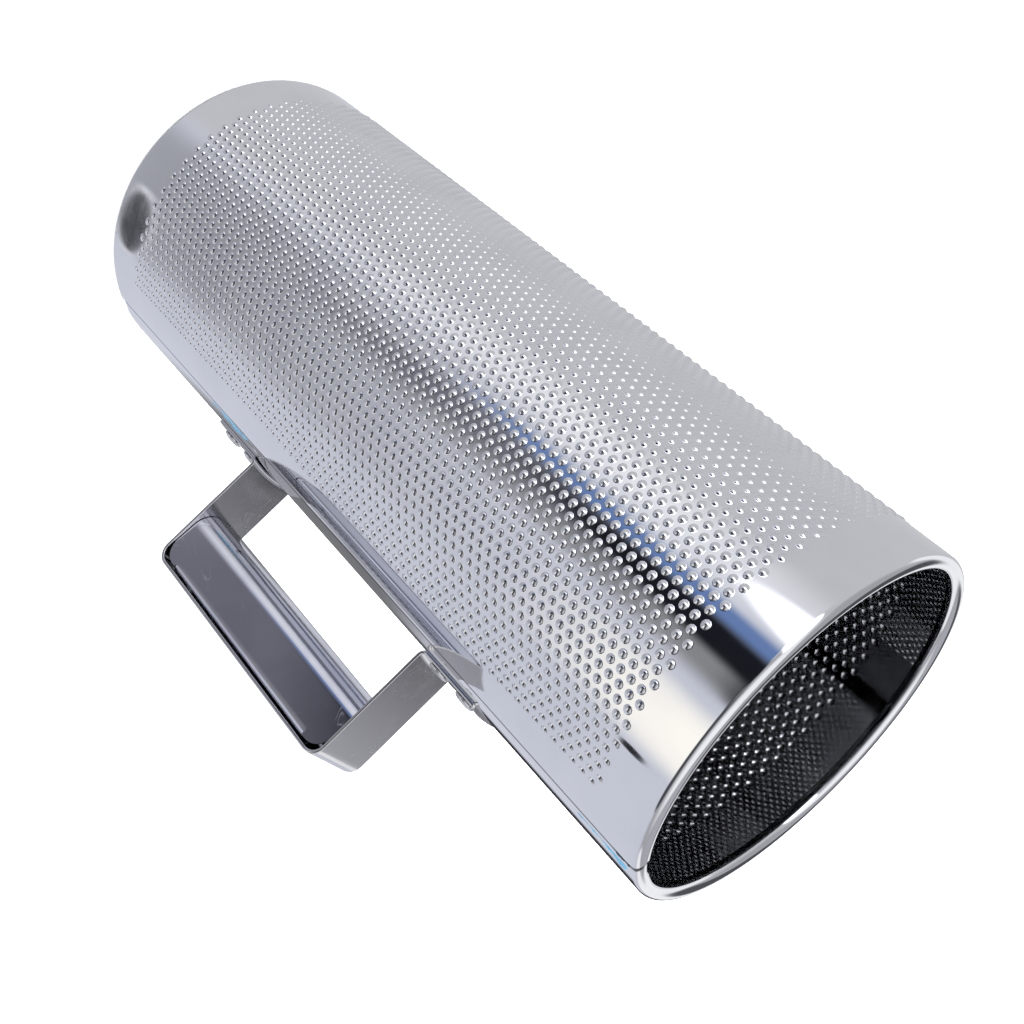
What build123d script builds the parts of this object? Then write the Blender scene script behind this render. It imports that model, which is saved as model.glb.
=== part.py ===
from build123d import *
import math
import os

# A metal guira: a sheet-steel drum, open at both ends, with a strap handle
# riveted to its side. The drum stands upright on one rim. The origin is the
# centre of that rim, +Z runs up the drum's axis and +X points at the handle.
# The drum's thousands of small pressed bumps are left off its plain wall.

# Driving dimensions, in millimetres and degrees.
DRUM_R = 63.0             # outer radius of the plain sheet
DRUM_LENGTH = 306.8       # over both rolled rims
SHEET = 0.5               # drum sheet thickness
RIM_ROLL_R = 2.5          # outer radius of the tube that each rim is rolled into
RIM_ROLL_SWEEP = 300.0    # how far round that tube the sheet goes

SEAM_ANGLE = -21.9        # where the outer layer of the lap ends
LAP_OVERLAP = 11.0        # how far the inner layer runs on beneath it
LAP_GAP = 0.05            # air between the two layers
JOGGLE_START = 3.0        # the inner layer steps inward between these two
JOGGLE_END = 8.0          # angles, which are counted from the seam

STRAP_WIDTH = 25.4
STRAP = 1.2               # strap thickness
STRAP_REACH = 110.6       # from the drum's axis to the web's outer face
LEG_LOW = 101.9           # height of the lower leg's outer face
LEG_HIGH = 207.3          # height of the upper leg's outer face
WEB_BEND_R = 5.6          # outside radius where a leg meets the web
FOOT_BEND_R = 1.5         # inside radius where a leg meets its foot
FOOT_LENGTH = 26.0        # from the leg's outer face
LEG_ROOT = 7.0            # length of leg that is made together with its foot

GRIP_SHEET = 0.6
GRIP_GAP = 0.4            # between the web and the grip
GRIP_DEPTH = 22.4         # from the web side of the grip to its nose
GRIP_HALF_WIDTH = 12.3    # at the web side
NOSE_HALF_WIDTH = 10.8    # at the nose, before its corners are rounded
NOSE_CORNER_R = 7.6
HEM_R = 1.9               # outside radius of the bend beside the web
FLANGE = 5.0              # width of the flange folded in behind the web
GRIP_CORNER_R = 6.5       # rounding of each side's corners beside the web
GRIP_END_GAP = 0.3        # from the grip to each leg

SHANK_R = 2.0
HEAD_R = 4.0
HEAD_HEIGHT = 1.3
TAIL_R = 3.0
TAIL_HEIGHT = 1.2
RIVET_CLEARANCE = 0.05    # around the shank, and under the head and tail
FIRST_RIVET = 6.0         # from the leg's outer face
SECOND_RIVET = 19.5
RIVET_ANGLE = 6.3         # either side of the strap's centre line


def polar(radius, angle):
    """A point at an angle in degrees, as two coordinates."""
    turn = math.radians(angle)
    return (radius * math.cos(turn), radius * math.sin(turn))


def sheet_arc(radius, start, end):
    """An arc about the drum's axis, between two angles."""
    middle = (start + end) / 2
    return ThreePointArc(polar(radius, start), polar(radius, middle), polar(radius, end))


def lap_section():
    """The sheet wrapped once round, with its last stretch stepped in under the lap."""
    outer = DRUM_R
    inner = DRUM_R - SHEET
    under = inner - LAP_GAP
    bottom = under - SHEET
    start = SEAM_ANGLE + 360.0
    step_out = SEAM_ANGLE + JOGGLE_END
    step_in = SEAM_ANGLE + JOGGLE_START
    end = SEAM_ANGLE - LAP_OVERLAP
    edges = [
        sheet_arc(outer, start, step_out),
        Line(polar(outer, step_out), polar(under, step_in)),
        sheet_arc(under, step_in, end),
        Line(polar(under, end), polar(bottom, end)),
        sheet_arc(bottom, end, step_in),
        Line(polar(bottom, step_in), polar(inner, step_out)),
        sheet_arc(inner, step_out, start),
        Line(polar(inner, start), polar(outer, start)),
    ]
    return make_face(edges)


def rim_ring():
    """The upper rim: a short stretch of wall, then the sheet rolled inward."""
    centre_r = DRUM_R - RIM_ROLL_R
    centre_z = DRUM_LENGTH - RIM_ROLL_R
    wall_z = centre_z - RIM_ROLL_R
    outer = RIM_ROLL_R
    inner = RIM_ROLL_R - SHEET
    last = RIM_ROLL_SWEEP

    def on_roll(radius, angle):
        along, up = polar(radius, angle)
        return (centre_r + along, centre_z + up)

    def roll(radius, start, end):
        middle = (start + end) / 2
        return ThreePointArc(on_roll(radius, start), on_roll(radius, middle), on_roll(radius, end))

    edges = [
        Line((DRUM_R, wall_z), on_roll(outer, 0)),
        roll(outer, 0, last),
        Line(on_roll(outer, last), on_roll(inner, last)),
        roll(inner, last, 0),
        Line(on_roll(inner, 0), (DRUM_R - SHEET, wall_z)),
        Line((DRUM_R - SHEET, wall_z), (DRUM_R, wall_z)),
    ]
    return revolve(Plane.XZ * make_face(edges), Axis.Z, 360)


def drum_shell(holes):
    """The drilled and lapped sheet with its two rolled rims."""
    rim_height = 2 * RIM_ROLL_R
    wall = Pos(0, 0, rim_height) * extrude(lap_section(), DRUM_LENGTH - 2 * rim_height)
    top = rim_ring()
    bottom = Pos(0, 0, DRUM_LENGTH) * Rot(180, 0, 0) * top
    return wall - holes + [top, bottom]


def strap_hoop():
    """The web and both legs: a flat bar bent twice."""
    start_x = DRUM_R + LEG_ROOT - STRAP
    width = STRAP_REACH - start_x
    height = LEG_HIGH - LEG_LOW

    def rounded_block(inset, radius):
        block = Rectangle(width - inset, height - 2 * inset, align=(Align.MIN, Align.CENTER))
        far_corners = block.vertices().sort_by(Axis.X)[-2:]
        return fillet(far_corners, radius)

    band = rounded_block(0, WEB_BEND_R) - rounded_block(STRAP, WEB_BEND_R - STRAP)
    band = Pos(start_x, (LEG_LOW + LEG_HIGH) / 2) * band
    return extrude(Plane.XZ * band, STRAP_WIDTH / 2, both=True)


def lower_foot():
    """The lower foot, curved to sit on the drum, with its bend and the leg's root."""
    face = DRUM_R
    back = DRUM_R + STRAP
    bend_r = back + FOOT_BEND_R
    bend_z = LEG_LOW - FOOT_BEND_R
    outside = FOOT_BEND_R + STRAP
    tip = LEG_LOW - FOOT_LENGTH
    root = DRUM_R + LEG_ROOT
    half_turn = 45.0

    def on_bend(radius, angle):
        along, up = polar(radius, angle)
        return (bend_r + along, bend_z + up)

    def bend(radius, start, end):
        middle = (start + end) / 2
        return ThreePointArc(on_bend(radius, start), on_bend(radius, middle), on_bend(radius, end))

    edges = [
        Line((face, tip), (back, tip)),
        Line((back, tip), (back, bend_z)),
        bend(FOOT_BEND_R, 180, 90),
        Line((bend_r, LEG_LOW), (root, LEG_LOW)),
        Line((root, LEG_LOW), (root, LEG_LOW + STRAP)),
        Line((root, LEG_LOW + STRAP), (bend_r, LEG_LOW + STRAP)),
        bend(outside, 90, 180),
        Line((face, bend_z), (face, tip)),
    ]
    ring = revolve(Plane.XZ * make_face(edges), Axis.Z, half_turn)
    ring = Rot(0, 0, -half_turn / 2) * ring
    keep = Box(4 * root, STRAP_WIDTH, 2 * FOOT_LENGTH)
    return ring & Pos(0, 0, LEG_LOW - FOOT_LENGTH / 2) * keep


def handle_strap():
    """The whole bent strap, web, legs and feet, before it is drilled."""
    low = lower_foot()
    high = mirror(low, Plane.XY.offset((LEG_LOW + LEG_HIGH) / 2))
    return strap_hoop() + low + high


def grip_sleeve():
    """The hollow grip: sheet folded round behind the web, with its edges flanged in."""
    web_side = STRAP_REACH - STRAP - GRIP_GAP
    nose = web_side - GRIP_DEPTH
    low = LEG_LOW + STRAP + GRIP_END_GAP
    high = LEG_HIGH - STRAP - GRIP_END_GAP
    outline = make_face(Polyline(
        (web_side, -GRIP_HALF_WIDTH),
        (nose, -NOSE_HALF_WIDTH),
        (nose, NOSE_HALF_WIDTH),
        (web_side, GRIP_HALF_WIDTH),
        close=True,
    ))
    outline = fillet(outline.vertices().sort_by(Axis.X)[:2], NOSE_CORNER_R)
    outline = fillet(outline.vertices().sort_by(Axis.X)[-2:], HEM_R)
    section = outline - offset(outline, -GRIP_SHEET)
    slot_width = 2 * (GRIP_HALF_WIDTH - HEM_R - FLANGE)
    section = section - Pos(web_side, 0) * Rectangle(4 * GRIP_SHEET, slot_width)
    sleeve = Pos(0, 0, low) * extrude(section, high - low)

    side = Rectangle(GRIP_DEPTH, high - low, align=(Align.MAX, Align.CENTER))
    side = fillet(side.vertices().sort_by(Axis.X)[-2:], GRIP_CORNER_R)
    side = Pos(web_side, (low + high) / 2) * side
    return sleeve & extrude(Plane.XZ * side, GRIP_HALF_WIDTH, both=True)


def rivet():
    """A round-head rivet lying along +X, set at the drum's wall."""
    under_head = DRUM_R + STRAP + RIVET_CLEARANCE
    under_tail = DRUM_R - SHEET - 2 * RIVET_CLEARANCE
    tail_end = under_tail - TAIL_HEIGHT
    top = under_head + HEAD_HEIGHT
    dome_r = (HEAD_R ** 2 + HEAD_HEIGHT ** 2) / (2 * HEAD_HEIGHT)
    half_height = HEAD_HEIGHT / 2
    half_r = math.sqrt(dome_r ** 2 - (dome_r - half_height) ** 2)
    edges = [
        Line((tail_end, 0), (tail_end, TAIL_R)),
        Line((tail_end, TAIL_R), (under_tail, TAIL_R)),
        Line((under_tail, TAIL_R), (under_tail, SHANK_R)),
        Line((under_tail, SHANK_R), (under_head, SHANK_R)),
        Line((under_head, SHANK_R), (under_head, HEAD_R)),
        ThreePointArc((under_head, HEAD_R), (top - half_height, half_r), (top, 0)),
        Line((top, 0), (tail_end, 0)),
    ]
    return revolve(make_face(edges), Axis.X, 360)


def rivet_places():
    """The name and place of each of the eight rivets."""
    places = {}
    for foot, leg, outward in (("lower", LEG_LOW, -1), ("upper", LEG_HIGH, 1)):
        for row, reach in (("inner", FIRST_RIVET), ("outer", SECOND_RIVET)):
            for side, turn in (("left", -RIVET_ANGLE), ("right", RIVET_ANGLE)):
                name = f"{foot}_foot_rivet_{row}_{side}"
                places[name] = Rot(0, 0, turn) * Pos(0, 0, leg + outward * reach)
    return places


def main():
    places = rivet_places()
    hole = Cylinder(SHANK_R + RIVET_CLEARANCE, 4 * STRAP, rotation=(0, 90, 0))
    hole = Pos(DRUM_R, 0, 0) * hole
    holes = [place * hole for place in places.values()]
    parts = {
        "drum_shell": drum_shell(holes),
        "handle_strap": handle_strap() - holes,
        "grip_sleeve": grip_sleeve(),
    }
    for name, place in places.items():
        parts[name] = place * rivet()
    os.makedirs("parts", exist_ok=True)
    for name, shape in parts.items():
        export_step(shape, f"parts/{name}.step")


main()
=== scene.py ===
import math

import bmesh
import bpy
import numpy as np
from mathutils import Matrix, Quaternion, Vector


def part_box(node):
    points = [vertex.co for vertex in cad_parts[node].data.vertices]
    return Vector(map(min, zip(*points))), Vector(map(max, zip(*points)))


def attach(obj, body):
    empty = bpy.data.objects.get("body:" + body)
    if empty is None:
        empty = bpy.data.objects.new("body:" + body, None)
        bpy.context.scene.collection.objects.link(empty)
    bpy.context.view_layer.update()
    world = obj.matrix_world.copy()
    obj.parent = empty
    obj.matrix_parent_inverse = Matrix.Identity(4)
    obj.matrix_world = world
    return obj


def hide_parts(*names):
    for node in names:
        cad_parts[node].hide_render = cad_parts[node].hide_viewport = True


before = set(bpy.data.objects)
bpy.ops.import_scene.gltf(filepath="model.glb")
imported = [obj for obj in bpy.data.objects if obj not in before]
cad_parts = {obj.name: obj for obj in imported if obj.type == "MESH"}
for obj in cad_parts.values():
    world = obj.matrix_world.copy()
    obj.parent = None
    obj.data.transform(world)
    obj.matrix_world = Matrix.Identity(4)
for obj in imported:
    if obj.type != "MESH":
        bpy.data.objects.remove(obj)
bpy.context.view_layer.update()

# A metal guira, drawn around its CAD frame: a polished steel drum covered in
# small pressed domes, with a riveted strap handle and a folded grip. Lengths
# are in metres and angles in degrees.

MM = 0.001

# The drum's sheet
DRUM_LOW, DRUM_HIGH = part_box("drum_shell")
DRUM_R = (DRUM_HIGH.y - DRUM_LOW.y) / 2
DRUM_TOP = DRUM_HIGH.z
SHEET = 0.5 * MM
ROLL_R = 2.5 * MM
ROLL_SWEEP = 300.0
SEAM_ANGLE = -21.9        # where the outer layer of the lap ends
LAP_DEPTH = 0.55 * MM     # how far the inner layer lies below the outer one
JOGGLE_AT = 352.0         # turn of sheet, from the free edge, before it steps in
UNDER_AT = 357.0          # where it has stepped in
UNDER_EDGE = 366.0        # past the cut-back corner of the free edge
SHEET_END = 371.0
CORNER_TRIM = 4.5         # how far the free edge's corner is cut back at the rim
TRIM_REACH = 14.0         # how far from the free edge the sheet gives way to that
SHADE_LINE_REACH = 2.9         # how far the line of painted shade beside the free edge reaches
SHADE_LINE_FADE = 0.3          # how soft its far side is
BLUE_TO = 100 * MM        # up to this height that line is blue
BLACK_FROM = 108 * MM     # and from this height it is black

# The pressed domes
DOME_CAP_R = 1.12 * MM    # the round cap, which is steepest at its edge
DOME_FOOT_R = 1.50 * MM   # where the sheet is flat again
DOME_SLOPE = 0.66         # at the cap's edge
DOME_ROWS = 104
DOMES_IN_ROW = 69
ROW_PITCH = 2.94          # turn between rows
DOME_PITCH = 3.875 * MM   # along a row
FIRST_ROW = 15.4          # turn from the free edge to the first row
FIRST_DOME = 21.5 * MM    # height of the lowest dome in the first row

# The strap and the grip
STRAP_LOW, STRAP_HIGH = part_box("handle_strap")
STRAP = 1.2 * MM
LEG_LOW = 101.9 * MM
LEG_HIGH = 207.3 * MM
WEB_BEND_R = 5.6 * MM
FOOT_BEND_R = 1.5 * MM
STRAP_EDGE_R = 0.3 * MM
STRAP_CORNER_R = 1.2 * MM
HUG_FROM = 9 * MM         # beyond this far from the drum's wall the strap is flat
HUG_OVER = 5 * MM         # and over this length it takes the drum's curve
GRIP_LOW, GRIP_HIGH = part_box("grip_sleeve")
GRIP_SHEET = 0.6 * MM
GRIP_HALF_WEB = GRIP_HIGH.y + 0.1 * MM
GRIP_HALF_NOSE = 10.8 * MM
NOSE_R = 7.6 * MM
GRIP_CORNER = 6.5 * MM    # rounding of each side's corners beside the web
RAW_EDGE = 0.8 * MM       # from the web's outer face to the sheet's edge at those corners
HEM_R = 1.9 * MM
HEM_FROM_END = 8.5 * MM
FLANGE = 5.0 * MM
NEARLY = 1e-7             # an allowance for rounding of numbers

# The rivets
HEAD_R = 4.0 * MM
HEAD = 1.3 * MM
SHANK_R = 2.0 * MM
TAIL_R = 3.0 * MM
TAIL = 1.2 * MM
RIVET_GAP = 0.05 * MM     # under the head and the tail


# ---------------------------------------------------------------- mesh helpers

def make_object(name, vertices, faces):
    """A mesh piece from arrays of points and faces, riding on the root body."""
    mesh = bpy.data.meshes.new(name)
    mesh.from_pydata([tuple(v) for v in vertices], [], [tuple(f) for f in faces])
    mesh.validate()
    mesh.shade_smooth()
    piece = bpy.data.objects.new(name, mesh)
    bpy.context.scene.collection.objects.link(piece)
    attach(piece, "root")
    return piece


def sharpen(piece, angle):
    """Applies the piece's modifiers, then makes its edges sharp above that angle."""
    graph = bpy.context.evaluated_depsgraph_get()
    mesh = bpy.data.meshes.new_from_object(piece.evaluated_get(graph), depsgraph=graph)
    piece.modifiers.clear()
    piece.data = mesh
    mesh.shade_smooth()
    mesh.set_sharp_from_angle(angle=math.radians(angle))


def ring_grid(rows, columns, closed):
    """Quads of a grid of vertices whose rows are open lines or closed rings."""
    faces = []
    last = columns if closed else columns - 1
    for row in range(rows - 1):
        for column in range(last):
            beside = (column + 1) % columns
            a = row * columns
            b = a + columns
            faces.append((a + column, a + beside, b + beside, b + column))
    return faces


# -------------------------------------------------------------------- the drum

def sheet_rows():
    """Points and outward normals up the sheet's outer side, and the domes' first row."""
    turns = np.radians(np.linspace(ROLL_SWEEP, 0, 22))
    centre_r = DRUM_R - ROLL_R
    lower_r = centre_r + ROLL_R * np.cos(turns)
    lower_z = ROLL_R - ROLL_R * np.sin(turns)
    half_pitch = DOME_PITCH / 2
    zone_low = FIRST_DOME - half_pitch
    zone = zone_low + half_pitch * np.arange(2 * DOMES_IN_ROW + 2)
    below = np.linspace(ROLL_R, zone_low, 9)[1:-1]
    above = np.linspace(zone[-1], DRUM_TOP - ROLL_R, 9)[1:-1]
    wall_z = np.concatenate([below, zone, above])
    wall = np.ones_like(wall_z)
    upper_r = lower_r[::-1]
    upper_z = DRUM_TOP - lower_z[::-1]
    r = np.concatenate([lower_r, DRUM_R * wall, upper_r])
    z = np.concatenate([lower_z, wall_z, upper_z])
    normal_r = np.concatenate([np.cos(turns), wall, np.cos(turns[::-1])])
    normal_z = np.concatenate([-np.sin(turns), 0 * wall, np.sin(turns[::-1])])
    first_zone_row = len(turns) + len(below)
    return r, z, normal_r, normal_z, first_zone_row


def sheet_columns():
    """Turns from the free edge of the sheet's vertices, and the domes' first column."""
    before = np.array([0.0, 0.35, 0.9, 1.8, 3.2, 5.0, 7.0, 9.3, 11.6])
    domed = FIRST_ROW - ROW_PITCH / 2 + ROW_PITCH * np.arange(DOME_ROWS + 1)
    plain = np.linspace(domed[-1], JOGGLE_AT, 14)[1:]
    joggle = np.linspace(JOGGLE_AT, UNDER_AT, 7)[1:]
    beside_edge = np.linspace(UNDER_AT, UNDER_EDGE, 28)[1:]
    under = np.linspace(UNDER_EDGE, SHEET_END, 4)[1:]
    return np.concatenate([before, domed, plain, joggle, beside_edge, under]), len(before)


def lap_depth(turn):
    """How far the sheet lies below the drum's plain surface at that turn."""
    along = np.clip((turn - JOGGLE_AT) / (UNDER_AT - JOGGLE_AT), 0, 1)
    return LAP_DEPTH * (0.5 - 0.5 * np.cos(np.pi * along))


def corner_trim(z):
    """How far the free edge is cut back at each point of the sheet's outline."""
    start = DRUM_TOP - 2.2 * ROLL_R
    rise = np.clip((z - start) / (DRUM_TOP - start), 0, 1)
    rise[np.argmax(z):] = 1.0
    return CORNER_TRIM * (1 - np.sqrt(np.maximum(0, 1 - rise ** 2)))


def lap_painted_shade(turns, trim):
    """1 in the step just beside the free edge, where a dark line of shade is painted, and 0
    elsewhere.
    """
    beside = 360 + trim[None, :] - turns[:, None]
    return np.clip((SHADE_LINE_REACH - beside) / SHADE_LINE_FADE, 0, 1)


def place(turn, r, z, normal_r, normal_z):
    """Points and normals in space, from turns of sheet, radii and heights."""
    angle = np.radians(SEAM_ANGLE - turn)
    points = np.stack([r * np.cos(angle), r * np.sin(angle), z], axis=-1)
    normals = np.stack([normal_r * np.cos(angle), normal_r * np.sin(angle), normal_z], axis=-1)
    return points, normals


def bridge(inner, outer):
    """Triangles between two rings of angles, as indices into inner then outer."""
    n, m = len(inner), len(outer)
    start = min(range(m), key=lambda k: abs((outer[k] - inner[0] + 180) % 360 - 180))
    i, o = 0, 0
    triangles = []

    def turned(angles, first, step):
        """How far round the ring the next corner is, from the first inner one."""
        index = first + step
        full, rest = divmod(index, len(angles))
        return (angles[rest] - inner[0]) + 360 * full

    offset = turned(outer, start, 0)
    offset = offset - ((offset + 180) % 360 - 180)
    while i < n or o < m:
        next_in = turned(inner, 0, i + 1) if i < n else math.inf
        next_out = turned(outer, start, o + 1) - offset if o < m else math.inf
        here_in = i % n
        here_out = n + (start + o) % m
        if next_in <= next_out:
            triangles.append((here_in, here_out, (i + 1) % n))
            i += 1
        else:
            triangles.append((here_in, here_out, n + (start + o + 1) % m))
            o += 1
    return triangles


def dome_cell(sides, rings):
    """One dome's own vertices in the sheet's plane, and its cell's triangles.

    The last six indices are the cell's border: three up its far side, then
    three down its near side.
    """
    step = 360.0 / sides
    angles = [step * (k + 0.5) for k in range(sides)]
    points = [(0.0, 0.0)]
    for ring in rings:
        for angle in angles:
            turn = math.radians(angle)
            points.append((ring * math.cos(turn), ring * math.sin(turn)))
    triangles = []
    for k in range(sides):
        triangles.append((0, 1 + k, 1 + (k + 1) % sides))
    for ring in range(len(rings) - 1):
        a = 1 + ring * sides
        b = a + sides
        for k in range(sides):
            beside = (k + 1) % sides
            triangles.append((a + k, b + k, b + beside))
            triangles.append((a + k, b + beside, a + beside))
    half_u = math.radians(ROW_PITCH) * DRUM_R / 2
    half_z = DOME_PITCH / 2
    border = [(half_u, -half_z), (half_u, 0), (half_u, half_z)]
    border += [(-half_u, half_z), (-half_u, 0), (-half_u, -half_z)]
    border_angles = [math.degrees(math.atan2(b, a)) for a, b in border]
    last_ring = len(points) - sides
    for triangle in bridge(angles, border_angles):
        triangles.append(tuple(last_ring + corner for corner in triangle))
    return np.array(points), np.array(triangles)


def dome_shape(reach):
    """A dome's height and slope at distances from its middle."""
    flare = DOME_FOOT_R - DOME_CAP_R
    foot_height = DOME_SLOPE * flare / 2
    on_cap = reach < DOME_CAP_R
    left = np.clip((DOME_FOOT_R - reach) / flare, 0, 1)
    cap = foot_height + DOME_SLOPE * (DOME_CAP_R ** 2 - reach ** 2) / (2 * DOME_CAP_R)
    height = np.where(on_cap, cap, foot_height * left ** 2)
    slope = np.where(on_cap, -DOME_SLOPE * reach / DOME_CAP_R, -DOME_SLOPE * left)
    return height, slope


def dome_places():
    """Every dome's row and its place in that row, counted from the first."""
    rows = np.repeat(np.arange(DOME_ROWS), DOMES_IN_ROW)
    places = np.tile(np.arange(DOMES_IN_ROW), DOME_ROWS)
    return rows, places


def dome_points(cell, depth, side):
    """Points and normals of all the domes on one side of the sheet."""
    reach = np.hypot(cell[:, 0], cell[:, 1])
    height, slope = dome_shape(reach)
    unit = cell / np.maximum(reach, 1e-9)[:, None]
    rows, places = dome_places()
    centre_turn = FIRST_ROW + ROW_PITCH * rows
    centre_z = FIRST_DOME + DOME_PITCH * places + DOME_PITCH / 2 * (rows % 2)
    turn = centre_turn[:, None] + np.degrees(cell[:, 0] / DRUM_R)[None, :]
    z = centre_z[:, None] + cell[:, 1][None, :]
    r = DRUM_R - depth + height[None, :] + 0 * turn
    points, radial = place(turn, r, z, 1 + 0 * turn, 0 * turn)
    angle = np.radians(SEAM_ANGLE - turn)
    along_sheet = np.stack([np.sin(angle), -np.cos(angle), 0 * angle], axis=-1)
    upward = np.array([0.0, 0.0, 1.0])
    lean_along = (slope * unit[:, 0])[None, :, None] * along_sheet
    lean_up = (slope * unit[:, 1])[None, :, None] * upward
    normals = radial - (lean_along + lean_up)
    return points, side * normals / np.linalg.norm(normals, axis=-1, keepdims=True)


def dome_borders(index, zone_row, zone_column):
    """The six grid vertices round each dome, in the order of its cell's border."""
    rows, places = dome_places()
    line = zone_row + 2 * places + rows % 2
    near = zone_column + rows
    far = near + 1
    return np.stack([
        index[far, line], index[far, line + 1], index[far, line + 2],
        index[near, line + 2], index[near, line + 1], index[near, line],
    ], axis=1)


def plain_triangles(index, zone_row, zone_column):
    """Triangles of the sheet's grid around and between the domes' cells."""
    columns, rows = index.shape
    plain = np.ones((columns - 1, rows - 1), bool)
    zone_rows = slice(zone_row, zone_row + 2 * DOMES_IN_ROW + 1)
    plain[zone_column:zone_column + DOME_ROWS, zone_rows] = False
    plain[zone_column:zone_column + DOME_ROWS:2, zone_row + 2 * DOMES_IN_ROW] = True
    plain[zone_column + 1:zone_column + DOME_ROWS:2, zone_row] = True
    a, b = np.nonzero(plain)
    lower = np.stack([index[a, b], index[a + 1, b], index[a + 1, b + 1]], axis=1)
    upper = np.stack([index[a, b], index[a + 1, b + 1], index[a, b + 1]], axis=1)
    return np.concatenate([lower, upper])


def drum_skin(depth, side, sides, rings):
    """One side of the sheet: points, normals, triangles, its grid of points and its painted shade
    beside the free edge.

    depth is the distance below the outer surface, and side is 1 for the outer
    skin and -1 for the inner one.
    """
    r, z, normal_r, normal_z, zone_row = sheet_rows()
    turns, zone_column = sheet_columns()
    drop = lap_depth(turns)[:, None] + depth
    trim = corner_trim(z)
    near_edge = np.clip(1 - turns / TRIM_REACH, 0, 1)
    grid_turns = turns[:, None] + near_edge[:, None] * trim[None, :]
    grid, grid_normals = place(
        grid_turns, r - normal_r * drop, z - normal_z * drop,
        side * normal_r + 0 * drop, side * normal_z + 0 * drop)
    index = np.arange(grid_turns.size).reshape(grid_turns.shape)

    cell, cell_triangles = dome_cell(sides, rings)
    points, normals = dome_points(cell, depth, side)
    starts = index.size + len(cell) * np.arange(len(points))
    own = starts[:, None] + np.arange(len(cell))[None, :]
    corners = np.concatenate([own, dome_borders(index, zone_row, zone_column)], axis=1)
    domed = corners[:, cell_triangles].reshape(-1, 3)
    triangles = np.concatenate([domed, plain_triangles(index, zone_row, zone_column)])
    if side > 0:
        triangles = triangles[:, ::-1]
    all_points = np.concatenate([grid.reshape(-1, 3), points.reshape(-1, 3)])
    all_normals = np.concatenate([grid_normals.reshape(-1, 3), normals.reshape(-1, 3)])
    painted_shade = np.zeros(len(all_points))
    painted_shade[:index.size] = lap_painted_shade(turns, trim).ravel()
    return all_points, all_normals, triangles, grid, painted_shade


def edge_strip(outer, inner, flip):
    """The sheet's cut edge between two matching lines of points."""
    count = len(outer)
    points = np.concatenate([outer, inner])
    a = np.arange(count - 1)
    lower = np.stack([a, a + 1, a + 1 + count], axis=1)
    upper = np.stack([a, a + 1 + count, a + count], axis=1)
    triangles = np.concatenate([lower, upper])
    if flip:
        triangles = triangles[:, ::-1]
    corner = points[triangles]
    across = np.cross(corner[:, 1] - corner[:, 0], corner[:, 2] - corner[:, 0])
    normals = np.zeros_like(points)
    for k in range(3):
        np.add.at(normals, triangles[:, k], across)
    normals /= np.maximum(np.linalg.norm(normals, axis=1, keepdims=True), 1e-12)
    return points, normals, triangles, points, np.zeros(len(points))


def drum():
    """The whole sheet: both skins, the lap and the rolled rims, as one mesh."""
    outer = drum_skin(0.0, 1, 10, (0.55 * DOME_CAP_R, 0.98 * DOME_CAP_R, DOME_FOOT_R))
    inner = drum_skin(SHEET, -1, 6, (0.8 * DOME_CAP_R, DOME_FOOT_R))
    front, back = outer[3], inner[3]
    parts = [
        outer, inner,
        edge_strip(front[0], back[0], False),
        edge_strip(front[-1], back[-1], True),
        edge_strip(front[:, 0], back[:, 0], True),
        edge_strip(front[:, -1], back[:, -1], False),
    ]
    points = np.concatenate([part[0] for part in parts])
    normals = np.concatenate([part[1] for part in parts])
    starts = np.cumsum([0] + [len(part[0]) for part in parts[:-1]])
    triangles = np.concatenate([part[2] + start for part, start in zip(parts, starts)])

    mesh = bpy.data.meshes.new("drum_sheet")
    mesh.vertices.add(len(points))
    mesh.vertices.foreach_set("co", points.astype(np.float32).ravel())
    mesh.loops.add(triangles.size)
    mesh.loops.foreach_set("vertex_index", triangles.astype(np.int32).ravel())
    mesh.polygons.add(len(triangles))
    mesh.polygons.foreach_set("loop_start", np.arange(0, triangles.size, 3, dtype=np.int32))
    mesh.update(calc_edges=True)
    mesh.shade_smooth()
    mesh.normals_split_custom_set_from_vertices(normals.astype(np.float32))
    # how much painted shade each point carries, in the step beside the free edge
    painted_shade = np.concatenate([part[4] for part in parts])
    mesh.attributes.new("painted_shade", "FLOAT", "POINT").data.foreach_set("value", painted_shade.astype(np.float32))
    piece = bpy.data.objects.new("drum_sheet", mesh)
    bpy.context.scene.collection.objects.link(piece)
    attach(piece, "root")
    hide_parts("drum_shell")
    return piece


# ------------------------------------------------------------------- the strap

def arc_points(centre, radius, start, end, steps):
    """Points and outward directions along an arc in the XZ plane."""
    found = []
    for step in range(steps + 1):
        turn = math.radians(start + (end - start) * step / steps)
        direction = Vector((math.cos(turn), 0, math.sin(turn)))
        found.append((centre + radius * direction, direction))
    return found


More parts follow.
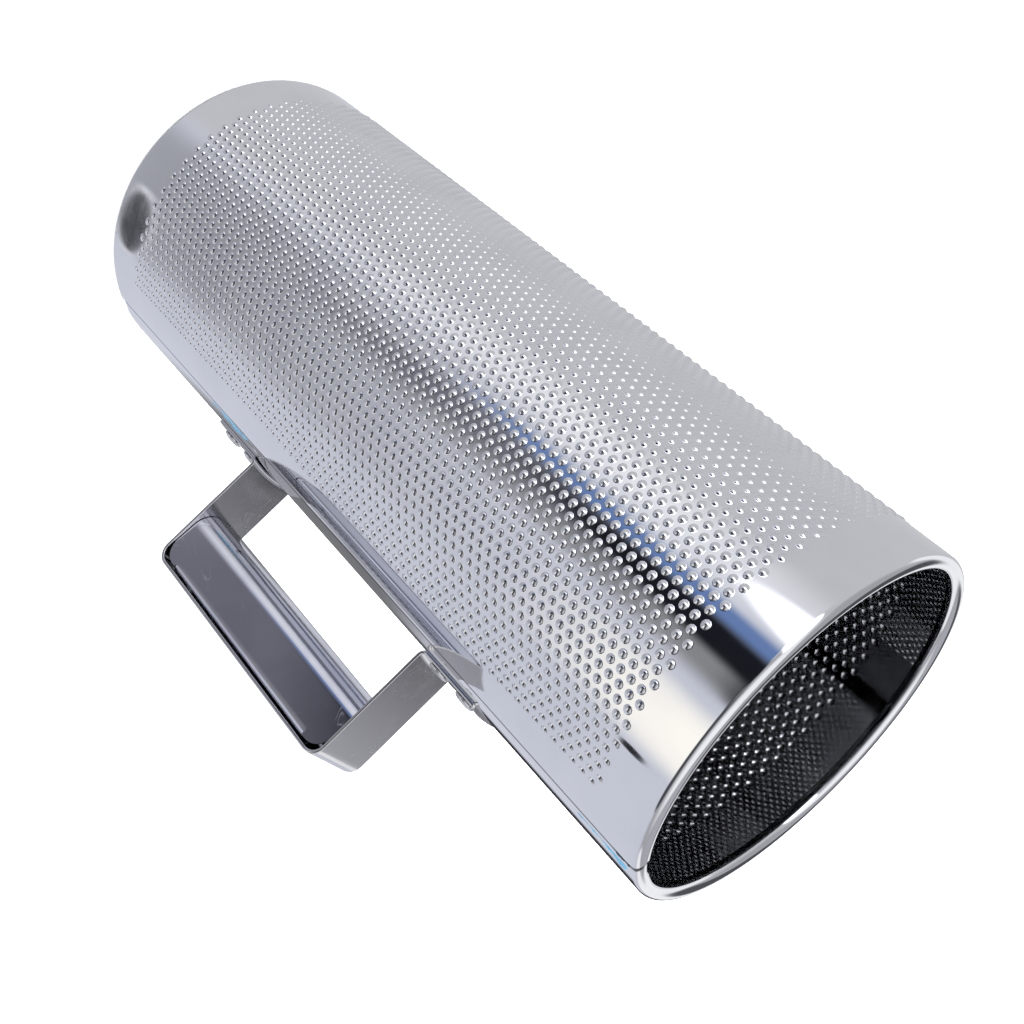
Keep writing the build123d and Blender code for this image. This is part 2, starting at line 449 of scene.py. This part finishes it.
def strap_stations():
    """The strap's centre line from its lower tip to its upper one.

    Each station is a point, the direction across the sheet and the half width.
    """
    half = STRAP / 2
    half_width = STRAP_HIGH.y
    corner = STRAP_CORNER_R
    foot_x = DRUM_R + half
    bend_x = DRUM_R + STRAP + FOOT_BEND_R
    tip = STRAP_LOW.z
    lower_foot = []
    for rise in (0.0, 0.1 * corner, 0.3 * corner, 0.6 * corner, corner, 8 * MM, 16 * MM):
        inset = corner - math.sqrt(corner ** 2 - max(0.0, corner - rise) ** 2)
        lower_foot.append((Vector((foot_x, 0, tip + rise)), Vector((1, 0, 0)), half_width - inset))
    bend_centre = Vector((bend_x, 0, LEG_LOW - FOOT_BEND_R))
    lower_bend = arc_points(bend_centre, FOOT_BEND_R + half, 180, 90, 8)
    web_centre = Vector((STRAP_HIGH.x - WEB_BEND_R, 0, LEG_LOW + WEB_BEND_R))
    web_bend = arc_points(web_centre, WEB_BEND_R - half, 270, 360, 12)

    stations = list(lower_foot)
    for point, direction in lower_bend:
        stations.append((point, -direction, half_width))
    leg_end = web_bend[0][0]
    for share in (0.1, 0.2, 0.35, 0.6, 0.8):
        point = lower_bend[-1][0].lerp(leg_end, share)
        stations.append((point, Vector((0, 0, -1)), half_width))
    for point, direction in web_bend:
        stations.append((point, direction, half_width))
    middle = (LEG_LOW + LEG_HIGH) / 2
    upper = []
    for point, direction, width in reversed(stations):
        mirrored = Vector((point.x, 0, 2 * middle - point.z))
        upper.append((mirrored, Vector((direction.x, 0, -direction.z)), width))
    return stations + upper


def strap_outline(half_width):
    """The strap's section: points across the width and across the thickness."""
    half = STRAP / 2
    radius = STRAP_EDGE_R
    flat = half_width - radius
    ease = half - radius
    flat_steps = 10
    edge_steps = 8
    outline = []
    for side in (1, -1):
        for step in range(flat_steps + 1):
            outline.append((side * (-flat + 2 * flat * step / flat_steps), -side * half))
        for step in range(1, edge_steps):
            turn = math.radians(-90 + 180 * step / edge_steps)
            lift = ease if turn > 0 else -ease
            if 2 * step == edge_steps:
                lift = 0.0
            across = flat + radius * math.cos(turn)
            outline.append((side * across, side * (lift + radius * math.sin(turn))))
    return outline


def hug(point):
    """Bends a point of the strap's foot round the drum."""
    weight = min(1.0, max(0.0, (DRUM_R + HUG_FROM - point.x) / HUG_OVER))
    curved = math.sqrt(point.x ** 2 - point.y ** 2)
    return Vector((point.x + weight * (curved - point.x), point.y, point.z))


def strap():
    """The whole bent strap, with eased edges."""
    vertices = []
    stations = strap_stations()
    for point, direction, half_width in stations:
        for across, through in strap_outline(half_width):
            vertices.append(hug(point + direction * through + Vector((0, across, 0))))
    columns = len(strap_outline(STRAP_HIGH.y))
    faces = ring_grid(len(stations), columns, True)
    faces.append(tuple(range(columns))[::-1])
    last = (len(stations) - 1) * columns
    faces.append(tuple(range(last, last + columns)))
    piece = make_object("strap_bar", vertices, faces)
    fix_normals(piece)
    sharpen(piece, 50)
    weigh_normals(piece)
    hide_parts("handle_strap")
    return piece


def fix_normals(piece):
    """Turns all faces of a closed mesh outward."""
    work = bmesh.new()
    work.from_mesh(piece.data)
    bmesh.ops.recalc_face_normals(work, faces=work.faces)
    work.to_mesh(piece.data)
    work.free()


def weigh_normals(piece):
    """Keeps wide faces flat beside narrow rounded edges."""
    modifier = piece.modifiers.new("weighted", "WEIGHTED_NORMAL")
    modifier.keep_sharp = True
    modifier.weight = 60


# -------------------------------------------------------------------- the grip

def side_y(x):
    """Half the grip's width at x: its sides close in a little towards the nose."""
    slope = (GRIP_HALF_WEB - GRIP_HALF_NOSE) / (GRIP_HIGH.x - GRIP_LOW.x)
    return GRIP_HALF_NOSE + slope * (x - GRIP_LOW.x)


def grip_heights():
    """Heights of the grip's sections, closest together at its rounded corners."""
    low, high = GRIP_LOW.z, GRIP_HIGH.z
    heights = []
    for share in np.linspace(0, 1, 13):
        heights.append(low + GRIP_CORNER * (1 - math.cos(share * math.pi / 2)))
    heights += [low + HEM_FROM_END - 0.5 * MM, low + HEM_FROM_END]
    heights += list(np.linspace(low + HEM_FROM_END, (low + high) / 2, 12)[1:])
    heights += [low + high - height for height in reversed(heights[:-1])]
    return heights


def side_end(height):
    """Where the sheet's side ends, beside the web."""
    from_end = min(height - GRIP_LOW.z, GRIP_HIGH.z - height)
    if from_end >= HEM_FROM_END:
        return GRIP_HIGH.x - HEM_R
    short = max(0.0, GRIP_CORNER - from_end)
    inset = GRIP_CORNER - math.sqrt(max(0.0, GRIP_CORNER ** 2 - short ** 2))
    return GRIP_HIGH.x - RAW_EDGE - inset


def grip_section(height):
    """The U of sheet at one height, from the far hem round the nose to the near one."""
    start = side_end(height)
    nose = GRIP_LOW.x
    bend_x = nose + NOSE_R
    half = []
    for share in np.linspace(0, 1, 9):
        x = start + (bend_x - start) * share
        half.append((x, side_y(x)))
    centre_y = GRIP_HALF_NOSE - NOSE_R
    stretch = side_y(bend_x) - GRIP_HALF_NOSE
    steps = 12
    for step in range(1, steps + 1):
        turn = math.radians(90 + 90 * step / steps)
        y = centre_y + NOSE_R * math.sin(turn) + stretch * math.sin(turn)
        half.append((bend_x + NOSE_R * math.cos(turn), y))
    half.append((nose, centre_y / 2))
    outline = [(x, -y) for x, y in half] + [(nose, 0.0)] + [(x, y) for x, y in reversed(half)]
    return [Vector((x, y, height)) for x, y in outline]


def hem_offsets():
    """Steps forward and inward from the side's end, round the hem and along its flange."""
    steps = 8
    offsets = []
    for step in range(1, steps + 1):
        turn = math.radians(90 * step / steps)
        offsets.append((HEM_R * math.sin(turn), -HEM_R * (1 - math.cos(turn))))
    for share in (0.33, 0.66, 1.0):
        offsets.append((HEM_R, -HEM_R - FLANGE * share))
    return offsets


def add_hem(vertices, faces, heights, columns, side):
    """Adds the hem and flange along one straight side of the grip."""
    low = GRIP_LOW.z + HEM_FROM_END - NEARLY
    high = GRIP_HIGH.z - HEM_FROM_END + NEARLY
    rows = [row for row, height in enumerate(heights) if low <= height <= high]
    edge_column = columns - 1 if side > 0 else 0
    hem_x = GRIP_HIGH.x - HEM_R
    previous = [row * columns + edge_column for row in rows]
    for forward, inward in hem_offsets():
        current = []
        for row in rows:
            vertices.append(Vector((hem_x + forward, side * (side_y(hem_x) + inward), heights[row])))
            current.append(len(vertices) - 1)
        for k in range(len(rows) - 1):
            quad = (previous[k], previous[k + 1], current[k + 1], current[k])
            faces.append(quad if side > 0 else quad[::-1])
        previous = current


def grip():
    """The folded grip: a U of sheet whose straight edges are hemmed in behind the web."""
    heights = grip_heights()
    vertices = []
    for height in heights:
        section = grip_section(height)
        vertices += section
    columns = len(section)
    faces = ring_grid(len(heights), columns, False)
    for side in (-1, 1):
        add_hem(vertices, faces, heights, columns, side)
    piece = make_object("grip_sheet", vertices, faces)
    fix_normals(piece)
    outward = piece.data.polygons[columns // 2].normal.x < 0
    solid = piece.modifiers.new("sheet", "SOLIDIFY")
    solid.thickness = GRIP_SHEET
    solid.offset = -1.0 if outward else 1.0
    solid.use_even_offset = True
    sharpen(piece, 40)
    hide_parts("grip_sleeve")
    return piece


# ------------------------------------------------------------------ the rivets

def rivet_profile():
    """Distances from the drum's axis and radii, from the flat tail to the head's top."""
    wall = DRUM_R - SHEET - 2 * RIVET_GAP
    inner = wall - TAIL
    seat = DRUM_R + STRAP + RIVET_GAP
    brim = 0.25 * MM
    profile = [(inner, 0.0), (inner, 0.5 * TAIL_R), (inner + 0.2 * MM, 0.8 * TAIL_R)]
    profile += [(wall - 0.4 * MM, TAIL_R), (wall, TAIL_R), (wall, SHANK_R)]
    profile += [(seat, SHANK_R), (seat, HEAD_R - brim)]
    for angle in (30, 60, 90):
        lean = math.radians(angle)
        profile.append((seat + brim * (1 - math.cos(lean)), HEAD_R - brim + brim * math.sin(lean)))
    rise = HEAD - brim
    for angle in np.linspace(0, 90, 12)[1:]:
        lean = math.radians(angle)
        profile.append((seat + brim + rise * math.sin(lean), HEAD_R * math.cos(lean) ** 0.9))
    return profile


def rivet(node):
    """A domed rivet with an eased brim, set at its node's place."""
    low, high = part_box(node)
    centre = (low + high) / 2
    turn = math.atan2(centre.y, centre.x)
    segments = 32
    smallest = 0.01 * MM
    profile = rivet_profile()
    vertices = []
    for x, r in profile:
        for step in range(segments):
            around = 2 * math.pi * step / segments
            y = max(r, smallest) * math.cos(around)
            z = max(r, smallest) * math.sin(around)
            place_x = x * math.cos(turn) - y * math.sin(turn)
            place_y = x * math.sin(turn) + y * math.cos(turn)
            vertices.append((place_x, place_y, centre.z + z))
    faces = ring_grid(len(profile), segments, True)
    faces.append(tuple(range(segments)))
    last = (len(profile) - 1) * segments
    faces.append(tuple(range(last, last + segments)))
    piece = make_object(node + "_round", vertices, faces)
    fix_normals(piece)
    sharpen(piece, 45)
    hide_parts(node)
    return piece


# ------------------------------------------------------------- left-over film

def film(name, low, high, start, widths):
    """A torn strip of blue protective film that sticks out of the lap."""
    rows = 60
    across = 6
    radius = DRUM_R + 0.08 * MM
    curl = 0.15 * MM
    knots = np.linspace(0, 1, len(widths))
    vertices = []
    for share in np.linspace(0, 1, rows):
        height = low + (high - low) * share
        torn = 1 + 0.12 * math.sin(61 * share) + 0.08 * math.sin(139 * share)
        width = torn * np.interp(share, knots, widths)
        for column in range(across):
            angle = math.radians(SEAM_ANGLE + start + width * column / (across - 1))
            lift = radius + curl * math.sin(23 * share) * column / across
            vertices.append((lift * math.cos(angle), lift * math.sin(angle), height))
    piece = make_object(name, vertices, ring_grid(rows, across, False))
    solid = piece.modifiers.new("film", "SOLIDIFY")
    solid.thickness = 0.05 * MM
    solid.offset = 0.0
    sharpen(piece, 40)
    return piece


# ------------------------------------------------------------------- materials

class Nodes:
    """A short way to add nodes to a material or world and join them."""

    def __init__(self, tree):
        self.tree = tree

    def add(self, kind, **settings):
        node = self.tree.nodes.new(kind)
        for key, value in settings.items():
            setattr(node, key, value)
        return node

    def join(self, source, target):
        self.tree.links.new(source, target)

    def math(self, operation, a, b=None, c=None):
        node = self.add("ShaderNodeMath", operation=operation)
        for socket, value in zip(node.inputs, (a, b, c)):
            if value is None:
                continue
            if isinstance(value, (int, float)):
                socket.default_value = value
            else:
                self.join(value, socket)
        return node.outputs[0]

    def blend(self, factor, a, b):
        """A colour between a and b."""
        node = self.add("ShaderNodeMix", data_type="RGBA")
        for socket, value in zip((node.inputs[0], node.inputs[6], node.inputs[7]), (factor, a, b)):
            if isinstance(value, tuple):
                socket.default_value = (*value, 1.0)
            elif isinstance(value, (int, float)):
                socket.default_value = value
            else:
                self.join(value, socket)
        return node.outputs[2]

    def spread(self, value, low, high, new_low, new_high):
        """value, moved smoothly from one range to another."""
        node = self.add("ShaderNodeMapRange", interpolation_type="SMOOTHSTEP")
        self.join(value, node.inputs["Value"])
        settings = {"From Min": low, "From Max": high, "To Min": new_low, "To Max": new_high}
        for key, setting in settings.items():
            node.inputs[key].default_value = setting
        return node.outputs[0]

    def noise(self, vector, scale, detail=3.0, roughness=0.5, distortion=0.0):
        node = self.add("ShaderNodeTexNoise")
        self.join(vector, node.inputs["Vector"])
        node.inputs["Scale"].default_value = scale
        node.inputs["Detail"].default_value = detail
        node.inputs["Roughness"].default_value = roughness
        node.inputs["Distortion"].default_value = distortion
        return node.outputs[0]

    def stretched(self, scale, turn=(0, 0, 0)):
        """The object's own coordinates, turned and then drawn out by each length."""
        source = self.add("ShaderNodeTexCoord")
        mapping = self.add("ShaderNodeMapping", vector_type="TEXTURE")
        self.join(source.outputs["Object"], mapping.inputs["Vector"])
        mapping.inputs["Scale"].default_value = scale
        mapping.inputs["Rotation"].default_value = tuple(math.radians(t) for t in turn)
        return mapping.outputs[0]


def new_material(name):
    """A material with nodes, and its main shader."""
    material = bpy.data.materials.new(name)
    material.use_nodes = True
    return Nodes(material.node_tree), material.node_tree.nodes["Principled BSDF"], material


def steel(name, colour, tint, roughness, smudge, scratch, scratch_turn):
    """Polished stainless steel with smudges and fine handling scratches, and painted shade in the
    lap's step where the mesh carries it.
    """
    nodes, shader, material = new_material(name)
    plain = nodes.stretched((1, 1, 1))
    clouds = nodes.noise(plain, 38, 5, 0.55, 0.4)
    specks = nodes.noise(plain, 900, 2, 0.6)
    colour_noise = nodes.spread(clouds, 0.35, 0.7, 0.0, 1.0)
    clean = nodes.blend(colour_noise, colour, tint)
    # painted shade: a dark line in the lap's step beside the free edge, blue up to one height and
    # black above another
    painted_shade = nodes.add("ShaderNodeAttribute", attribute_name="painted_shade")
    height = nodes.add("ShaderNodeSeparateXYZ")
    nodes.join(plain, height.inputs[0])
    blackness = nodes.spread(height.outputs[2], BLUE_TO, BLACK_FROM, 0.0, 1.0)
    shade_line_colour = nodes.blend(blackness, (0.005, 0.07, 0.20), (0.02, 0.02, 0.025))
    nodes.join(nodes.blend(painted_shade.outputs["Fac"], clean, shade_line_colour), shader.inputs["Base Color"])
    shader.inputs["Metallic"].default_value = 1.0

    hairlines = []
    for turn, scale in ((scratch_turn, 240), (scratch_turn + 35, 170), (scratch_turn - 60, 130)):
        lines = nodes.noise(nodes.stretched((1, 1, 16), (turn / 4, turn, 0)), scale, 2, 0.4, 0.1)
        away = nodes.math("ABSOLUTE", nodes.math("SUBTRACT", lines, 0.5))
        thin = nodes.spread(away, 0.0, 0.006, 1.0, 0.0)
        patch = nodes.spread(nodes.noise(plain, scale * 0.4, 2, 0.5), 0.56, 0.66, 0.0, 1.0)
        hairlines.append(nodes.math("MULTIPLY", thin, patch))
    marks = nodes.math("MAXIMUM", nodes.math("MAXIMUM", hairlines[0], hairlines[1]), hairlines[2])

    haze = nodes.spread(clouds, 0.42, 0.72, 0.0, smudge)
    grain = nodes.spread(specks, 0.3, 0.8, 0.0, 0.25 * smudge)
    total = nodes.math("ADD", nodes.math("ADD", haze, grain), roughness)
    total = nodes.math("ADD", total, nodes.math("MULTIPLY", marks, scratch))
    nodes.join(total, shader.inputs["Roughness"])

    bump = nodes.add("ShaderNodeBump")
    bump.inputs["Strength"].default_value = 0.12 * scratch / 0.2
    bump.inputs["Distance"].default_value = 0.02 * MM
    nodes.join(marks, bump.inputs["Height"])
    nodes.join(bump.outputs[0], shader.inputs["Normal"])
    return material


def film_plastic():
    """Clear blue protective film, creased and slightly cloudy."""
    nodes, shader, material = new_material("film_plastic")
    plain = nodes.stretched((1, 1, 1))
    clouds = nodes.noise(plain, 180, 4, 0.6)
    colour = nodes.blend(nodes.spread(clouds, 0.3, 0.7, 0, 1), (0.0, 0.12, 0.30), (0.03, 0.27, 0.42))
    nodes.join(colour, shader.inputs["Base Color"])
    nodes.join(nodes.spread(clouds, 0.3, 0.7, 0.12, 0.32), shader.inputs["Roughness"])
    bump = nodes.add("ShaderNodeBump")
    bump.inputs["Strength"].default_value = 0.3
    bump.inputs["Distance"].default_value = 0.1 * MM
    nodes.join(nodes.noise(nodes.stretched((1, 1, 5)), 900, 3), bump.inputs["Height"])
    nodes.join(bump.outputs[0], shader.inputs["Normal"])
    return material


def floor_paper():
    """Pale studio paper."""
    nodes, shader, material = new_material("floor_paper")
    grain = nodes.noise(nodes.stretched((1, 1, 1)), 240, 3)
    pale = nodes.blend(nodes.spread(grain, 0.3, 0.7, 0, 1), (0.92, 0.92, 0.92), (0.95, 0.95, 0.95))
    nodes.join(pale, shader.inputs["Base Color"])
    shader.inputs["Roughness"].default_value = 0.9
    shader.inputs["Specular IOR Level"].default_value = 0.1
    return material


def dress(piece, material):
    """Gives a piece one material."""
    piece.data.materials.clear()
    piece.data.materials.append(material)


# ----------------------------------------------------------------------- stage

# Soft cards that the polished metal mirrors: azimuth, elevation, half width,
# half height, edge softness and colour. A later card covers an earlier one.
CARDS = (
    (170, -35, 62, 60, 12, (0.62, 0.62, 0.645)),      # far side
    (-70, -50, 46, 9, 13, (0.33, 0.33, 0.355)),       # dim middle
    (-124, -30, 12, 12, 12, (1.02, 1.02, 1.05)),      # pale side
    (0, -90, 360, 24, 6, (0.42, 0.42, 0.45)),         # straight below
    (-60, 60, 75, 30, 16, (1.05, 1.05, 1.07)),        # overhead
    (-45, 0, 42, 14, 3, (0.08, 0.08, 0.09)),          # horizon
    (-85, -20, 15, 24, 6, (0.30, 0.30, 0.31)),        # shade round the stand
    (-89, -34, 9, 11, 4, (0.19, 0.19, 0.22)),         # lower part of the stand
    (-41, -19, 17, 6.5, 6, (1.24, 1.19, 1.09)),       # warm side
    (-81, -14, 15, 5.2, 1.0, (0.03, 0.03, 0.035)),    # dark part above it
    (-119, 8, 13, 30, 1.5, (2.2, 2.2, 2.25)),         # white side
    (-101, -22, 5, 15, 3, (0.16, 0.25, 0.50)),        # blue edge of the stand
    (-90, -12, 7.5, 21, 3, (0.012, 0.013, 0.018)),    # dark stand
    (-17.2, -20.4, 1.8, 0.75, 0.15, (0.01, 0.01, 0.01)),  # small dark mark
    (90, 45, 60, 20, 12, (0.46, 0.46, 0.50)),         # behind, high up
    (111, 40, 31, 20, 5, (0.09, 0.09, 0.10)),         # dark part of that
    (82, -25, 15, 27, 3, (0.04, 0.04, 0.05)),         # behind, low down
    (73, -39, 25, 8, 3, (0.20, 0.20, 0.21)),          # the rest of that, by the handle
    (95, 11, 70, 8, 3, (1.0, 1.0, 1.02)),             # behind, at eye level
)
CORNER_ROUND = 24.0

# A round pot below, rim first: azimuth, elevation, half sizes, softness and colour.
OVALS = (
    (-42, -53.6, 27, 0.90, 0.08, (0.95, 0.95, 1.0)),
    (-41, -53.6, 24, 0.74, 0.12, (0.07, 0.07, 0.08)),
)
OVAL_LEAN = 0.6           # rise of an oval's long axis, in degrees

# The mirrored studio between the cards, below and above the horizon
STUDIO_LOW = (0.68, 0.70, 0.78)
STUDIO_HIGH = (0.42, 0.42, 0.44)
HORIZON = (-8, 14)        # the elevations between which it changes
SHEAR_BELOW = -36.0       # below this elevation the cards lean over
WHITE = 2.6               # strength of the white light, which leaves no floor shadow
FLOOR_R = 8.0


def turn_from(nodes, azimuth, at):
    """The turn from one azimuth to a direction's own."""
    return nodes.math("WRAP", nodes.math("SUBTRACT", azimuth, float(at)), 180.0, -180.0)


def card_mask(nodes, azimuth, elevation, card):
    """1 inside a card with soft edges and rounded corners, and 0 outside it."""
    at, up, half_width, half_height, soft = card[:5]
    upright = nodes.math("ABSOLUTE", nodes.math("SUBTRACT", elevation, float(up)))
    sideways = nodes.math("ABSOLUTE", turn_from(nodes, azimuth, at))
    over_side = nodes.math("SUBTRACT", sideways, float(half_width))
    over_top = nodes.math("SUBTRACT", upright, float(half_height))
    rounding = min(CORNER_ROUND, 2.0 * half_width, 2.0 * half_height)
    over = nodes.math("SMOOTH_MAX", over_side, over_top, rounding)
    return nodes.spread(over, -soft, soft, 1.0, 0.0)


def oval_mask(nodes, azimuth, elevation, oval):
    """1 inside a soft-edged oval and 0 outside it."""
    at, up, half_width, half_height, soft = oval[:5]
    across = nodes.math("DIVIDE", turn_from(nodes, azimuth, at), float(half_width))
    leaning = nodes.math("MULTIPLY_ADD", across, OVAL_LEAN, float(up))
    upright = nodes.math("DIVIDE", nodes.math("SUBTRACT", elevation, leaning), float(half_height))
    squares = nodes.math("MULTIPLY_ADD", upright, upright, nodes.math("MULTIPLY", across, across))
    return nodes.spread(nodes.math("SQRT", squares), 1 - soft, 1 + soft, 1.0, 0.0)


def studio():
    """A plain white studio; only mirror reflections see its cards."""
    world = bpy.data.worlds.new("studio")
    bpy.context.scene.world = world
    world.use_nodes = True
    nodes = Nodes(world.node_tree)
    world.node_tree.nodes.clear()
    source = nodes.add("ShaderNodeTexCoord")
    parts = nodes.add("ShaderNodeSeparateXYZ")
    nodes.join(source.outputs["Generated"], parts.inputs[0])
    x, y, z = parts.outputs
    azimuth = nodes.math("DEGREES", nodes.math("ARCTAN2", y, x))
    level = nodes.math("MINIMUM", nodes.math("MAXIMUM", z, -1.0), 1.0)
    elevation = nodes.math("DEGREES", nodes.math("ARCSINE", level))
    lean = nodes.math("MINIMUM", nodes.math("SUBTRACT", elevation, SHEAR_BELOW), 0.0)
    leaning = nodes.math("ADD", azimuth, lean)
    colour = nodes.blend(nodes.spread(elevation, *HORIZON, 0, 1), STUDIO_LOW, STUDIO_HIGH)
    for card in CARDS:
        colour = nodes.blend(card_mask(nodes, leaning, elevation, card), colour, card[-1])
    for oval in OVALS:
        colour = nodes.blend(oval_mask(nodes, leaning, elevation, oval), colour, oval[-1])
    mirrored = nodes.add("ShaderNodeBackground")
    nodes.join(colour, mirrored.inputs["Color"])
    plain = nodes.add("ShaderNodeBackground")
    plain.inputs["Color"].default_value = (1.0, 1.0, 1.0, 1.0)
    plain.inputs["Strength"].default_value = WHITE
    path = nodes.add("ShaderNodeLightPath")
    mix = nodes.add("ShaderNodeMixShader")
    nodes.join(path.outputs["Is Glossy Ray"], mix.inputs[0])
    nodes.join(plain.outputs[0], mix.inputs[1])
    nodes.join(mirrored.outputs[0], mix.inputs[2])
    output = nodes.add("ShaderNodeOutputWorld")
    nodes.join(mix.outputs[0], output.inputs["Surface"])


def disc(name, radius, height):
    """A flat round sheet of stage."""
    segments = 64
    vertices = [(0, 0, height)]
    for step in range(segments):
        turn = 2 * math.pi * step / segments
        vertices.append((radius * math.cos(turn), radius * math.sin(turn), height))
    faces = [(0, 1 + k, 1 + (k + 1) % segments) for k in range(segments)]
    mesh = bpy.data.meshes.new(name)
    mesh.from_pydata(vertices, [], faces)
    piece = bpy.data.objects.new(name, mesh)
    bpy.context.scene.collection.objects.link(piece)
    return piece


def floor():
    """The pale floor, and the dark disc that only mirror reflections see inside the drum."""
    paper = disc("floor", FLOOR_R, -0.1 * MM)
    dress(paper, floor_paper())
    paper.visible_glossy = False
    shade = disc("inner_shade", DRUM_R - 2 * ROLL_R, 1.0 * MM)
    shader, material = new_material("inner_shade")[1:]
    shader.inputs["Base Color"].default_value = (0.02, 0.02, 0.02, 1.0)
    dress(shade, material)
    shade.visible_camera = False
    shade.visible_diffuse = False
    shade.visible_shadow = False


def camera():
    """The camera, above the drum's side and rolled over."""
    lens = 42.35
    place_at = Vector((0.0328, -0.3354, 0.3975))
    aim = Vector((0.0118, 0.0007, 0.1850))
    roll = math.radians(133.8)
    data = bpy.data.cameras.new("camera")
    data.lens = lens
    data.sensor_width = 36.0
    data.clip_start = 0.01
    eye = bpy.data.objects.new("camera", data)
    bpy.context.scene.collection.objects.link(eye)
    eye.location = place_at
    eye.rotation_mode = "QUATERNION"
    eye.rotation_quaternion = (aim - place_at).to_track_quat("-Z", "Y") @ Quaternion((0, 0, 1), roll)
    bpy.context.scene.camera = eye


# ------------------------------------------------------------------- the scene

camera()
studio()
floor()

drum_steel = steel("drum_steel", (0.80, 0.81, 0.83), (0.76, 0.77, 0.80), 0.035, 0.04, 0.05, 10)
strap_steel = steel("strap_steel", (0.70, 0.70, 0.72), (0.64, 0.64, 0.67), 0.13, 0.10, 0.15, 80)
grip_steel = steel("grip_steel", (0.69, 0.70, 0.76), (0.61, 0.62, 0.70), 0.07, 0.08, 0.22, 20)
rivet_steel = steel("rivet_steel", (0.72, 0.72, 0.73), (0.62, 0.62, 0.64), 0.10, 0.10, 0.15, 50)
blue_film = film_plastic()

dress(drum(), drum_steel)
dress(strap(), strap_steel)
dress(grip(), grip_steel)
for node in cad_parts:
    if "rivet" in node:
        dress(rivet(node), rivet_steel)
dress(film("film_by_foot", 76 * MM, 102 * MM, 1.4, (0.3, 0.8, 2.0, 3.0, 2.0, 0.6)), blue_film)
dress(film("film_by_rim", 282 * MM, 302 * MM, 2.6, (0.2, 0.7, 0.5, 0.9, 3.0, 2.2)), blue_film)

bpy.context.scene.view_settings.view_transform = "Standard"
